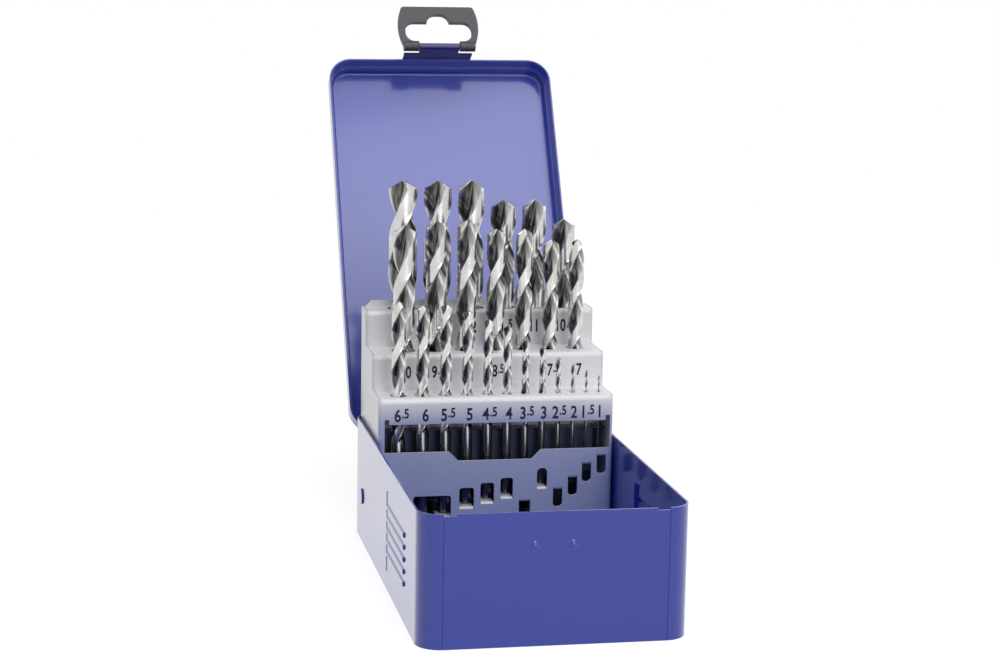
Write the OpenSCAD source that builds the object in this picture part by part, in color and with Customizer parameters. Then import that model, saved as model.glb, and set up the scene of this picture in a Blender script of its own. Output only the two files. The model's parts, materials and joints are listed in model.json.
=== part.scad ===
// Sheet-steel drill bit case: a shallow base, a hinged lid with a hanger clip,
// and a stepped rack that stands up as the lid opens and holds 25 twist bits.
// X runs to the right, Y to the back, Z up. The origin is the middle of the
// underside. The lid is drawn shut and then swung open about its hinge pin.

/* [Base] */
// Outside width of the base
base_w = 108; // [104:0.5:130]
// Outside length of the base, front to back
base_l = 188; // [187:0.5:230]
// Height of the base walls
base_h = 53.5; // [50:0.5:60]
// Thickness of the painted case sheet
case_sheet = 0.8; // [0.6:0.1:1]
// Outside radius of the upright corners
corner_r = 10; // [6:0.5:14]
// How far the front and back panels run on past the start of the round corners
panel_turn = 0.5; // [0:0.1:0.8]
// Gap of the seam between a panel and a side wall
seam_gap = 0.15; // [0.1:0.05:0.3]
// Width of the tongue that laps behind a panel at each seam
lap_w = 7; // [4:0.5:10]
// Gap between that tongue and the panel
lap_gap = 0.05; // [0.05:0.05:0.2]
// How far the tongue's root runs on behind the round corner
lap_root = 3; // [2:0.5:4]
// Distance of the lap's top below the rim
lap_drop = 1.2; // [0.5:0.1:4]
// Width of the low step at each end of a panel's top edge
step_w = 5; // [2:0.5:8]
// Drop of that step
step_drop = 0.9; // [0.4:0.1:1.1]
// Number of pressed grip ribs on each side wall
rib_count = 5; // [3:1:6]
// Distance between two grip ribs
rib_pitch = 5; // [4:0.25:6]
// Length of a grip rib
rib_len = 45; // [20:1:60]
// Width of a grip rib where it leaves the wall
rib_w = 2.6; // [1.6:0.1:3.4]
// How far a rib stands proud of the wall
rib_rise = 0.7; // [0.4:0.1:0.9]
// Distance of the ribs' front ends from the front wall
rib_front = 37; // [20:1:60]
// Height of the lowest rib
rib_low_z = 16; // [12:0.5:22]
// Length of the upright crease behind the ribs
crease_len = 34; // [20:1:36]
// Distance of the crease's top below the lid's skirt
crease_drop = 5.5; // [0.5:0.1:6]
// How far the crease stands proud of the wall
crease_rise = 0.3; // [0.2:0.05:0.6]

/* [Catch] */
// Distance of the catch and the hanger clip to the left of the middle
latch_offset = 1.4; // [0:0.2:4]
// Height of the two catch bumps on the front wall
bump_z = 40; // [36:0.5:43]
// Distance between the two catch bumps
bump_span = 15.2; // [10:0.2:17]
// Radius of a bump at the wall
bump_r = 2.1; // [1.5:0.1:2.6]
// How far a bump stands proud of the wall
bump_rise = 1; // [0.6:0.1:1.2]

/* [Lid] */
// Height of the shut lid above the base's rim
lid_rise = 6.5; // [6.5:0.5:14]
// How far the lid's skirt reaches down over the base
skirt_lap = 6; // [4:0.5:9]
// Gap between the skirt and the base walls
skirt_gap = 0.35; // [0.2:0.05:0.6]
// Gap between the lid's inner ledge and the base's rim
rim_gap = 0.3; // [0.2:0.05:0.6]
// Outside bend radius where the lid's panel turns into its sides
lid_bend_r = 2.2; // [1.2:0.1:4]
// Angle that the open lid leans back from upright
lid_lean = 30; // [20:1:40]

/* [Hinge] */
// Radius of the hinge pin
pin_r = 0.95; // [0.7:0.05:1.2]
// Thickness of the hinge strip
hinge_sheet = 0.8; // [0.6:0.1:1]
// Running clearance round the hinge pin
pin_clear = 0.05; // [0.03:0.01:0.1]
// Length of one hinge knuckle
knuckle_len = 16; // [10:1:18]
// Gap between two knuckles
knuckle_gap = 0.3; // [0.2:0.05:0.5]
// Height of a hinge leaf on its wall
leaf_h = 10; // [6:0.5:14]
// Gap between the barrel and the back wall
barrel_gap = 0.2; // [0.1:0.05:0.6]
// Distance of the barrel's top below the skirt's edge
barrel_drop = 0.2; // [0.1:0.05:0.5]

/* [Latch tab and hanger clip] */
// Width of the latch tab's shoulder
shoulder_w = 34; // [26:1:40]
// Height of the shoulder below the skirt's edge
shoulder_h = 5.2; // [4:0.2:8]
// Width of the tab's neck and of its rolled end
neck_w = 19.6; // [18:0.2:22]
// Distance from the skirt's edge down to the rolled end's axis
roll_drop = 10.2; // [9.2:0.2:14]
// Radius of the bore in the rolled end
roll_bore_r = 0.85; // [0.6:0.05:1.1]
// Radius of the clip's pivot barrels
clip_barrel_r = 2.4; // [2:0.1:2.6]
// Width of the hanger clip halfway up, where it is widest
clip_w = 39.8; // [38:0.2:46]
// How much narrower each side is at the clip's top and at its foot
clip_bow = 2.2; // [0.6:0.2:3]
// Height of the clip above its axis
clip_h = 21.2; // [19.6:0.2:28]
// Thickness of the clip's frame
clip_t = 2.6; // [2:0.1:3]
// Radius of the clip's upper corners
clip_corner_r = 1.8; // [1:0.2:4]
// Width of the hanging slot
slot_w = 33; // [30:0.2:34]
// Height of the hanging slot's arms above the clip's axis
slot_top = 12.6; // [11.4:0.2:14]
// Radius of the hanging slot's corners
slot_corner_r = 4.5; // [2:0.5:5]
// Width of the slot's middle notch
notch_w = 11.2; // [8:0.2:14]
// Height of the notch's top above the clip's axis
notch_top = 16.9; // [15:0.1:18]
// Radius of the middle notch's upper corners
notch_corner_r = 4.6; // [1:0.2:5]
// Length of the clip's pivots inside the rolled end
clip_pin_len = 5; // [3:0.5:8]
// Running clearance of the clip's pivots
clip_clear = 0.05; // [0.03:0.01:0.1]
// Gap between the clip's barrels and the rolled end
clip_side_gap = 0.3; // [0.2:0.05:0.6]

/* [Rack] */
// Thickness of the rack's sheet
rack_sheet = 0.8; // [0.6:0.1:1]
// Gap between the rack and the side walls
rack_side_gap = 1.05; // [0.8:0.05:1.5]
// Distance of the rack's back from the outside of the back wall
rack_back_gap = 6.4; // [6.1:0.1:7]
// Depth of the whole rack
rack_depth = 57.6; // [57:0.1:58]
// Depth of the front step
step_1_depth = 20; // [19:0.1:20.5]
// Depth of the middle step
step_2_depth = 22.2; // [20:0.1:22.4]
// Height of the front plate
plate_1_z = 72.7; // [70:0.1:76]
// Height of the middle plate
plate_2_z = 88.3; // [84:0.1:92]
// Height of the back plate
plate_3_z = 104.3; // [100:0.1:108]
// Height of the lips behind the plates
lip_h = 2.7; // [2:0.1:4]
// Outside radius of the bends at the steps' front edges and corners
bend_r = 2.2; // [1.2:0.1:3]
// Gap between a plate and each side plate
plate_gap = 0.15; // [0.1:0.05:0.3]
// Height of the front sheet's lower edge
front_low_z = 18.7; // [18.2:0.1:19]
// Height of the side plates' lower edge
side_low_z = 8; // [6:0.2:10]
// Distance behind the front sheet at which the side plates reach their lower edge
side_toe = 6; // [5:0.5:8]
// Distance of the pivot from the outside of the back wall
pivot_back = 44.2; // [44:0.1:44.4]
// Height of the pivot
pivot_z = 21; // [20.9:0.1:21.2]
// Radius of the pivot pins
pivot_r = 2.5; // [2:0.1:3]
// Running clearance of the pivot pins
pivot_clear = 0.05; // [0.03:0.01:0.1]
// Distance of the stop studs behind the pivot
stop_reach = 18.2; // [17:0.1:21]
// Distance of the stop studs below the pivot
stop_sink = 0.3; // [0:0.1:3]
// Radius of the stop studs
stop_r = 2; // [1.5:0.1:2.5]
// Radius of the stop studs' outer heads
stop_head_r = 3.6; // [3:0.1:4.5]
// Clearance of a stop stud in the hole that it is riveted into
stud_fit = 0.03; // [0.02:0.01:0.1]
// Clearance of a stop stud in its curved slot
stop_clear = 0.3; // [0.2:0.05:0.5]
// Height of the shelf that carries the longest bits
shelf_z = 11.5; // [11:0.1:12]
// Height of the flange at the shelf's back
shelf_flange_h = 8; // [4:1:12]
// Height of the lower guide plate
guide_z = 55.8; // [54:0.2:60]
// Height of the guide plate's front flange
guide_flange_h = 20; // [10:1:24]

/* [Front sheet openings] */
// Height of the long window's top
window_top_z = 61.5; // [60:0.5:64]
// Height of the long window's raised ends
window_end_z = 49; // [48:0.5:52]
// Height of the long window's sunken middle
window_mid_z = 44.8; // [44:0.2:47]
// Distance of the long window's left end from the rack's left side
window_left = 2.6; // [2.4:0.1:4]
// Distance of the long window's right end from the rack's right side
window_right = 1.6; // [1.5:0.1:4]
// Width of the notches in the long window's upper corners
notch_side = 2; // [1:0.1:3]
// Rise of those notches
notch_rise = 2.2; // [1:0.1:3]
// Height of a rest window
rest_window_h = 8.6; // [6:0.2:10]
// Height of the window that the second and third bits share
shared_window_h = 9.4; // [8:0.2:12]
// Radius of the wide windows' corners
window_corner_r = 1.3; // [0.8:0.1:1.6]
// Width below which a window ends in a half circle
window_narrow_w = 5; // [4:0.1:6]
// Width that a rest window has beyond its bit
window_spare = 1.6; // [1:0.1:2]
// Width of the smallest rest window
window_min_w = 4.2; // [3:0.1:4.5]
// How far a window sits to the left of its bit
window_shift = 1; // [0:0.1:1.4]
// Height of the ring-shaped dimple in the front sheet
dimple_z = 40; // [36:1:42]
// Outside radius of the dimple
dimple_r = 1.3; // [1:0.1:1.6]
// Length of a bent-in rest tab
rest_tab_len = 11.3; // [11:0.1:12]
// Outside radius of a rest tab's bend
tab_bend_r = 1.2; // [1:0.1:1.6]
// Gap between a rest tab and each side of its window
tab_side_gap = 0.2; // [0.1:0.05:0.3]

/* [Bits] */
// Distance of the front row's first bit from the left side plate
margin_1_left = 5.55; // [4:0.1:6.6]
// Distance of the front row's last bit from the right side plate
margin_1_right = 3.75; // [3:0.1:6]
// Distance of the middle row's first bit from the left side plate
margin_2_left = 9.55; // [6:0.1:12]
// Distance of the middle row's last bit from the right side plate
margin_2_right = 6.65; // [4:0.1:10]
// Distance of the back row's first bit from the left side plate
margin_3_left = 10.05; // [6:0.1:12]
// Distance of the back row's last bit from the right side plate
margin_3_right = 7.15; // [4:0.1:9]
// Distance of the front row behind the front sheet
row_1_inset = 8; // [7:0.1:8.4]
// Distance of the middle row behind the middle riser
row_2_inset = 11.6; // [9:0.1:12]
// Clearance of a bit in its hole, on the radius
hole_clear = 0.3; // [0.2:0.05:0.5]
// Length of the twist for one turn, as a multiple of the diameter
lead_ratio = 5.8; // [5:0.1:7]
// Angle of the bits' points
point_angle = 118; // [118:1:135]
// Length over which a flute runs out into the shank, in diameters
run_out_ratio = 1; // [0.5:0.1:1.5]
// Largest turn between two sections of the flutes
twist_step = 40; // [30:5:45]

/* [Hidden] */
$fn = 48;

// A cut reaches this far past the faces that it opens.
over = 1;
// Gap between a hinge leaf's edge and the other leaf's knuckles
leaf_relief = 0.4;
// Angle at which the clip's bowed sides turn into its upper corners
clip_corner_turn = 20;
// Flare of a rivet head round its shank
rivet_flare = 1.2;
front_y = -base_l / 2;
back_y = base_l / 2;
panel_w = base_w - 2 * (corner_r - panel_turn);

// Lid and hinge, with the lid shut
skirt_z = base_h - skirt_lap;
ledge_z = base_h + rim_gap;
closed_h = base_h + lid_rise;
hinge_r = pin_r + pin_clear + hinge_sheet;
hinge_y = back_y + barrel_gap + hinge_r;
hinge_z = skirt_z - barrel_drop - hinge_r;
lid_swing = 90 + lid_lean;
hinge_w = 5 * knuckle_len;

// Latch tab and clip, with the lid shut
latch_x = -latch_offset;
tab_y = front_y - bump_rise - rim_gap;
roll_r = roll_bore_r + case_sheet;
roll_y = front_y - bump_rise - rim_gap - roll_r;
roll_z = skirt_z - roll_drop;
clip_pin_r = roll_bore_r - clip_clear;

// Rack
rack_w = base_w - 2 * case_sheet - 2 * rack_side_gap;
rack_in_w = rack_w - 2 * rack_sheet;
riser_w = rack_w - 2 * bend_r;
plate_w = rack_in_w - 2 * plate_gap;
rack_back_y = back_y - rack_back_gap;
rack_y = rack_back_y - rack_depth;
step_2_y = rack_y + step_1_depth;
step_3_y = step_2_y + step_2_depth;
row_1_y = rack_y + row_1_inset;
row_2_y = step_2_y + row_2_inset;
row_3_y = (step_3_y + rack_back_y) / 2;
pivot_y = back_y - pivot_back;
stop_y = pivot_y + stop_reach;
stop_z = pivot_z - stop_sink;
stop_arm = norm([stop_reach, stop_sink]);
// The side plates' lower back corner turns about the pivot at this radius.
heel_r = rack_back_y - pivot_y;

// Bits, each as diameter, overall length and flute length
front_bits = [[6.5, 101, 63], [6, 93, 57], [5.5, 93, 57], [5, 86, 52], [4.5, 80, 47],
              [4, 75, 43], [3.5, 70, 39], [3, 61, 33], [2.5, 57, 30], [2, 49, 24],
              [1.5, 40, 18], [1, 34, 12]];
middle_bits = [[10, 133, 87], [9.5, 125, 81], [9, 125, 81], [8.5, 117, 75], [8, 117, 75],
               [7.5, 109, 69], [7, 109, 69]];
back_bits = [[13, 151, 101], [12.5, 151, 101], [12, 151, 101], [11.5, 142, 94],
             [11, 142, 94], [10.5, 133, 87]];

// Height at which each bit stands
front_rest = [13.5, 19.5, 20, 24, 26, 28, 26.5, 32, 31.5, 36.5, 42.5, 46];
middle_rest = [shelf_z, 21.5, 21.5, 25.5, 25.5, 28.5, 28.5];

// Left edge of each row's first bit, and the gap between two of its bits
row_1_left = margin_1_left - rack_in_w / 2;
row_2_left = margin_2_left - rack_in_w / 2;
row_3_left = margin_3_left - rack_in_w / 2;
gap_1 = row_gap(front_bits, margin_1_left + margin_1_right);
gap_2 = row_gap(middle_bits, margin_2_left + margin_2_right);
gap_3 = row_gap(back_bits, margin_3_left + margin_3_right);

function total_w(bits, i = 0) = i == len(bits) ? 0 : bits[i][0] + total_w(bits, i + 1);
function row_gap(bits, margins) = (rack_in_w - margins - total_w(bits)) / (len(bits) - 1);
function row_x(bits, left, gap, i) =
    i == 0 ? left + bits[0][0] / 2
           : row_x(bits, left, gap, i - 1) + (bits[i - 1][0] + bits[i][0]) / 2 + gap;
function x_1(i) = row_x(front_bits, row_1_left, gap_1, i);
function x_2(i) = row_x(middle_bits, row_2_left, gap_2, i);
function x_3(i) = row_x(back_bits, row_3_left, gap_3, i);

// ---- Shared shapes ----

// Upright block with round corners.
module round_block(w, l, h, r) {
    translate([-w / 2, -l / 2 + r, 0]) cube([w, l - 2 * r, h]);
    translate([-w / 2 + r, -l / 2, 0]) cube([w - 2 * r, l, h]);
    for (sx = [-1, 1], sy = [-1, 1])
        translate([sx * (w / 2 - r), sy * (l / 2 - r), 0]) cylinder(r = r, h = h);
}

// The base's wall all round, before it is split at its seams.
module wall_ring(z0, z1) {
    difference() {
        translate([0, 0, z0]) round_block(base_w, base_l, z1 - z0, corner_r);
        translate([0, 0, z0 - over])
            round_block(base_w - 2 * case_sheet, base_l - 2 * case_sheet,
                        z1 - z0 + 2 * over, corner_r - case_sheet);
    }
}

// Sweeps a 2D profile round a rounded rectangle; the profile's x is the
// distance outward from the corner centres.
module rim_sweep(w, l, r) {
    for (a = [0, 180]) {
        rotate([0, 0, a]) translate([w / 2 - r, l / 2 - r, 0])
            rotate([90, 0, 0]) linear_extrude(height = l - 2 * r) children();
        rotate([0, 0, a]) translate([-w / 2 + r, l / 2 - r, 0])
            rotate([90, 0, 90]) linear_extrude(height = w - 2 * r) children();
        rotate([0, 0, a]) translate([w / 2 - r, l / 2 - r, 0])
            rotate_extrude(angle = 90) children();
        rotate([0, 0, a]) translate([-w / 2 + r, l / 2 - r, 0])
            rotate([0, 0, 90]) rotate_extrude(angle = 90) children();
    }
}

// Quarter of a tube along X, its hollow side down and back, at a plate's front edge.
module top_bend(w, r, t) {
    difference() {
        translate([-w / 2, 0, 0]) rotate([0, 90, 0]) cylinder(r = r, h = w);
        translate([-w / 2 - over, 0, 0]) rotate([0, 90, 0])
            cylinder(r = r - t, h = w + 2 * over);
        translate([-w / 2 - over, -r - over, -r - over]) cube([w + 2 * over, 2 * (r + over), r + over]);
        translate([-w / 2 - over, 0, -over]) cube([w + 2 * over, r + over, r + 2 * over]);
    }
}

// Swings the shut lid and what it carries to where it rests open.
module open_lid() {
    translate([0, hinge_y, hinge_z]) rotate([-lid_swing, 0, 0])
        translate([0, -hinge_y, -hinge_z]) children();
}

// ---- Base ----

module base_pan() color([0.28, 0.31, 0.63]) {
    difference() {
        union() {
            round_block(base_w - 2 * case_sheet, base_l - 2 * case_sheet, case_sheet,
                        corner_r - case_sheet);
            intersection() {
                wall_ring(0, base_h);
                translate([-panel_w / 2, -base_l, -over])
                    cube([panel_w, 2 * base_l, base_h + 2 * over]);
            }
            for (s = [-1, 1]) translate([latch_x + s * bump_span / 2, front_y, bump_z]) catch_bump(0);
        }
        for (s = [-1, 1]) translate([s * panel_w / 2 - step_w, -base_l, base_h - step_drop])
            cube([2 * step_w, 2 * base_l, step_drop + over]);
        for (s = [-1, 1]) translate([latch_x + s * bump_span / 2, front_y, bump_z]) catch_bump(0.5);
    }
}

// Pressed dome on the front wall; inset makes the hollow behind it.
module catch_bump(inset) {
    r = (bump_r * bump_r + bump_rise * bump_rise) / (2 * bump_rise);
    difference() {
        translate([0, r - bump_rise, 0]) sphere(r = r - inset);
        translate([-2 * r, inset > 0 ? case_sheet : case_sheet / 2, -2 * r]) cube(4 * r);
    }
}

// One side wall, which wraps round both corners and laps behind the panels.
module side_wall(side) {
    color([0.28, 0.31, 0.63]) mirror([side < 0 ? 1 : 0, 0, 0]) difference() {
        union() {
            intersection() {
                wall_ring(0, base_h);
                translate([panel_w / 2 + seam_gap, -base_l, -over])
                    cube([base_w, 2 * base_l, base_h + 2 * over]);
            }
            for (y = [front_y + case_sheet + lap_gap, back_y - 2 * case_sheet - lap_gap])
                translate([panel_w / 2 - lap_w, y, case_sheet])
                    cube([lap_w + lap_root - panel_turn, case_sheet, base_h - case_sheet - lap_drop]);
            for (i = [0:rib_count - 1]) rib(i, 0);
            crease(0);
        }
        for (i = [0:rib_count - 1]) rib(i, rib_rise);
        crease(rib_rise);
        translate([base_w / 2 - case_sheet - over, stop_y, stop_z]) rotate([0, 90, 0])
            cylinder(r = stop_r + stud_fit, h = case_sheet + 2 * over);
    }
}

// Radius and centre offset of a pressed rib that stands rib_rise proud.
rib_r = (rib_w * rib_w / 4 + rib_rise * rib_rise) / (2 * rib_rise);

// Horizontal grip rib; inset makes the groove inside the wall.
module rib(i, inset) {
    translate([base_w / 2 + rib_rise - rib_r - inset, front_y + rib_front, rib_low_z + i * rib_pitch])
        rotate([-90, 0, 0]) cylinder(r = rib_r, h = rib_len);
}

// Upright crease behind the ribs.
module crease(inset) {
    translate([base_w / 2 + crease_rise - rib_r - inset, front_y + rib_front + rib_len + rib_w,
               skirt_z - crease_drop - crease_len])
        cylinder(r = rib_r, h = crease_len);
}

module side_wall_left() side_wall(-1);
module side_wall_right() side_wall(1);

// ---- Hinge ----

module barrel(x, len) {
    translate([x, hinge_y, hinge_z]) rotate([0, 90, 0]) cylinder(r = hinge_r, h = len);
}

module barrel_bore() {
    translate([-hinge_w / 2 - over, hinge_y, hinge_z]) rotate([0, 90, 0])
        cylinder(r = pin_r + pin_clear, h = hinge_w + 2 * over);
}

// Leaf with its knuckles on the even places, on the base's back wall.
module hinge_base_leaf() color([0.24, 0.26, 0.55]) difference() {
    union() {
        translate([-hinge_w / 2, back_y, hinge_z - leaf_h])
            cube([hinge_w, hinge_sheet, leaf_h - hinge_r - leaf_relief]);
        for (i = [0, 2, 4]) {
            x = -hinge_w / 2 + i * knuckle_len + (i > 0 ? knuckle_gap / 2 : 0);
            len = knuckle_len - (i == 2 ? knuckle_gap : knuckle_gap / 2);
            barrel(x, len);
            translate([x, back_y, hinge_z - leaf_h]) cube([len, hinge_sheet, leaf_h]);
        }
    }
    barrel_bore();
}

// Leaf with its knuckles on the odd places, on the lid's back skirt.
module hinge_lid_leaf() color([0.24, 0.26, 0.55]) open_lid() difference() {
    leaf_y = back_y + skirt_gap + case_sheet;
    union() {
        translate([-hinge_w / 2, leaf_y, hinge_z + hinge_r + leaf_relief])
            cube([hinge_w, hinge_sheet, leaf_h - hinge_r - leaf_relief]);
        for (i = [1, 3]) {
            x = -hinge_w / 2 + i * knuckle_len + knuckle_gap / 2;
            len = knuckle_len - knuckle_gap;
            barrel(x, len);
            translate([x, leaf_y, hinge_z]) cube([len, hinge_sheet, leaf_h]);
        }
    }
    barrel_bore();
}

module hinge_pin() color([0.7, 0.7, 0.72])
    translate([-hinge_w / 2 - pin_r, hinge_y, hinge_z]) rotate([0, 90, 0])
        cylinder(r = pin_r, h = hinge_w + 2 * pin_r);

// ---- Lid ----

// Section of the lid's rim: a skirt outside the base, a ledge over its rim,
// and a side that bends into the panel.
module rim_profile() {
    z0 = skirt_z;
    translate([corner_r + skirt_gap, z0]) square([case_sheet, ledge_z + case_sheet - z0]);
    translate([corner_r - case_sheet, ledge_z]) square([skirt_gap + 2 * case_sheet, case_sheet]);
    translate([corner_r - case_sheet, ledge_z])
        square([case_sheet, closed_h - lid_bend_r - ledge_z]);
    translate([corner_r - lid_bend_r, closed_h - lid_bend_r]) difference() {
        circle(r = lid_bend_r);
        circle(r = lid_bend_r - case_sheet);
        translate([-2 * lid_bend_r, -2 * lid_bend_r]) square([4 * lid_bend_r, 2 * lid_bend_r]);
        translate([-2 * lid_bend_r, -over]) square([2 * lid_bend_r, 4 * lid_bend_r]);
    }
    translate([0, closed_h - case_sheet]) square([corner_r - lid_bend_r, case_sheet]);
}

module lid_shell() color([0.5, 0.51, 0.76]) open_lid() {
    rim_sweep(base_w, base_l, corner_r) rim_profile();
    translate([-base_w / 2 + corner_r, -base_l / 2 + corner_r, closed_h - case_sheet])
        cube([base_w - 2 * corner_r, base_l - 2 * corner_r, case_sheet]);
}

// Tab below the front skirt that clears the bumps, its end rolled for the clip.
module latch_tab() color([0.2, 0.19, 0.42]) open_lid() translate([latch_x, 0, 0]) {
    top_z = skirt_z + 2 * case_sheet;
    skirt_face = front_y - skirt_gap - case_sheet;
    difference() {
        union() {
            translate([-shoulder_w / 2, tab_y - case_sheet, skirt_z - shoulder_h])
                cube([shoulder_w, case_sheet, shoulder_h + top_z - skirt_z]);
            translate([-shoulder_w / 2, tab_y - case_sheet, skirt_z])
                cube([shoulder_w, skirt_face - tab_y + case_sheet, top_z - skirt_z]);
            translate([-neck_w / 2, tab_y - case_sheet, roll_z])
                cube([neck_w, case_sheet, skirt_z - roll_z]);
            translate([-neck_w / 2, roll_y, roll_z]) rotate([0, 90, 0])
                cylinder(r = roll_r, h = neck_w);
        }
        translate([-neck_w / 2 - over, roll_y, roll_z]) rotate([0, 90, 0])
            cylinder(r = roll_bore_r, h = neck_w + 2 * over);
    }
}

// Outline with its two upper corners rounded, from y = 0 to y = h.
module arch(w, h, r) {
    translate([-w / 2, 0]) square([w, h - r]);
    translate([-w / 2 + r, 0]) square([w - 2 * r, h]);
    for (s = [-1, 1]) translate([s * (w / 2 - r), h - r]) circle(r = r);
}

// Half the clip's width at the height y: its sides bow out, most of all halfway up.
function clip_half(y) = clip_w / 2 - clip_bow * pow(2 * y / clip_h - 1, 2);

// Outline of the hanger frame, from its axis at y = 0 to its top.
module clip_outline() {
    side_top = clip_h - clip_corner_r * (1 - sin(clip_corner_turn));
    corner_x = clip_half(side_top) - clip_corner_r * cos(clip_corner_turn);
    half = concat(
        [for (t = [0:0.1:1]) [clip_half(t * side_top), t * side_top]],
        [for (a = [clip_corner_turn + 10:10:90])
            [corner_x + clip_corner_r * cos(a), clip_h - clip_corner_r * (1 - sin(a))]]);
    polygon(concat(half, [for (i = [len(half) - 1:-1:0]) [-half[i][0], half[i][1]]]));
}

// Hanger frame with a round-ended hanging slot; it lies along -Y from its axis.
module hanger_clip() color([0.22, 0.23, 0.25]) open_lid() translate([latch_x, roll_y, roll_z])
    rotate([0, 0, 180]) {
        inner_x = neck_w / 2 + clip_side_gap;
        slot_mid = (clip_barrel_r + slot_top) / 2;
        translate([0, 0, -clip_t / 2]) linear_extrude(height = clip_t) difference() {
            clip_outline();
            translate([0, slot_mid]) for (m = [0, 1]) mirror([0, m])
                arch(slot_w, slot_top - slot_mid, slot_corner_r);
            arch(notch_w, notch_top, notch_corner_r);
            translate([-inner_x, -over]) square([2 * inner_x, slot_mid + over]);
        }
        for (s = [-1, 1]) mirror([s < 0 ? 1 : 0, 0, 0]) {
            translate([inner_x, 0, 0]) rotate([0, 90, 0])
                cylinder(r = clip_barrel_r, h = clip_half(0) - inner_x);
            translate([inner_x - clip_pin_len, 0, 0]) rotate([0, 90, 0])
                cylinder(r = clip_pin_r, h = clip_pin_len + over);
        }
    }

// ---- Pins on the base for the rack ----

module rack_pivot_pins() color([0.72, 0.72, 0.74])
    for (s = [-1, 1]) mirror([s < 0 ? 1 : 0, 0, 0])
        translate([base_w / 2 - case_sheet, pivot_y, pivot_z]) rotate([0, -90, 0]) {
            inside = rack_side_gap + rack_sheet;
            cylinder(r = 2 * pivot_r, h = rack_side_gap / 2);
            cylinder(r = pivot_r, h = inside + 2 * rack_sheet);
            translate([0, 0, inside + rack_side_gap / 4])
                cylinder(r = pivot_r + rivet_flare, h = rack_sheet);
        }

module rack_stop_studs() color([0.28, 0.31, 0.63])
    for (s = [-1, 1]) mirror([s < 0 ? 1 : 0, 0, 0])
        translate([base_w / 2, stop_y, stop_z]) rotate([0, -90, 0]) {
            translate([0, 0, -rib_rise]) cylinder(r = stop_head_r, h = rib_rise);
            translate([0, 0, -over / 2])
                cylinder(r = stop_r, h = over / 2 + case_sheet + rack_side_gap + rack_sheet - seam_gap);
        }

// ---- Rack ----

// Holes of one row through a plate.
module row_holes(bits, left, gap, y, z) {
    for (i = [0:len(bits) - 1])
        translate([row_x(bits, left, gap, i), y, z - rack_sheet - over])
            cylinder(d = bits[i][0] + 2 * hole_clear, h = rack_sheet + 2 * over);
}

// Section of a riser and of the round bends at its two sides, in X and Y.
module riser_section(y0) {
    difference() {
        translate([0, y0]) bow(rack_w, bend_r);
        translate([0, y0 + rack_sheet]) bow(rack_in_w, bend_r - rack_sheet);
        translate([-rack_w, y0 + bend_r]) square([2 * rack_w, 2 * bend_r]);
    }
}

// Strip with its two front corners rounded.
module bow(w, r) {
    translate([r - w / 2, 0]) square([w - 2 * r, 2 * bend_r]);
    translate([-w / 2, r]) square([w, 2 * bend_r]);
    for (s = [-1, 1]) translate([s * (w / 2 - r), r]) circle(r = r);
}

// Ball-shaped corner of a step, where its three bends meet.
module step_corner(side) {
    translate([side > 0 ? riser_w / 2 : -riser_w / 2, 0, 0]) intersection() {
        difference() {
            sphere(r = bend_r);
            sphere(r = bend_r - rack_sheet);
        }
        translate([side > 0 ? 0 : -bend_r, -bend_r, 0]) cube(bend_r);
    }
}

// Step with a riser at y0 that bends round to the sides and up into its plate,
// and a lip at its back. Below bend_z the riser stands between the side plates.
module step_sheet(y0, depth, z, low_z, bend_z) {
    translate([0, 0, bend_z]) linear_extrude(height = z - bend_r - bend_z) riser_section(y0);
    if (low_z < bend_z) translate([-riser_w / 2, y0, low_z])
        cube([riser_w, rack_sheet, bend_z - low_z]);
    translate([0, y0 + bend_r, z - bend_r]) {
        top_bend(riser_w, bend_r, rack_sheet);
        for (side = [-1, 1]) step_corner(side);
    }
    translate([-plate_w / 2, y0 + bend_r, z - rack_sheet])
        cube([plate_w, depth - bend_r, rack_sheet]);
    lip(y0 + depth, z);
}

// How each front bit is carried: 0 stands on the shelf, 1 has its tab at the
// bottom of its window, -1 at the top.
front_tab = [0, 1, 1, 1, 1, 1, -1, 1, -1, -1, -1, -1];
function window_w(i) = max(window_min_w, front_bits[i][0] + window_spare);
function window_r(i) = window_w(i) < window_narrow_w ? 0.45 * window_w(i) : window_corner_r;

// A window sits to the left of its bit, apart from the last one.
function window_x(i) = x_1(i) - (i < len(front_bits) - 1 ? window_shift : 0);

// Cuts a flat shape, drawn as X and Z, through the front sheet.
module front_cut() {
    rotate([90, 0, 0]) translate([0, 0, -rack_y - rack_sheet - over])
        linear_extrude(height = rack_sheet + 2 * over) children();
}

// Window in the front sheet beside one rest tab. It has an arched top over a
// tab at its bottom, and a round bottom under a tab at its top.
module rest_window(i) {
    h = rest_window_h + tab_bend_r;
    if (front_tab[i] > 0)
        front_cut() translate([window_x(i), front_rest[i] - tab_bend_r])
            arch(window_w(i), h, window_r(i));
    else
        front_cut() translate([window_x(i), front_rest[i] - rack_sheet + tab_bend_r])
            mirror([0, 1]) arch(window_w(i), h - rack_sheet, window_r(i));
}

// Long window with its sunken middle and its two corner notches.
module long_window() {
    x0 = window_left - rack_w / 2;
    x1 = rack_w / 2 - window_right;
    top = window_top_z + notch_rise;
    slope = window_end_z - window_mid_z;
    left_x = (x_1(2) + x_1(3)) / 2;
    right_x = (x_1(6) + x_1(7)) / 2 - slope / 2;
    front_cut() polygon([
        [x0, window_end_z], [left_x - slope, window_end_z], [left_x, window_mid_z],
        [right_x, window_mid_z], [right_x + slope, window_end_z], [x1, window_end_z],
        [x1, top], [x1 - notch_side, top], [x1 - notch_side, window_top_z],
        [x0 + notch_side, window_top_z], [x0 + notch_side, top], [x0, top]]);
}

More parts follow.
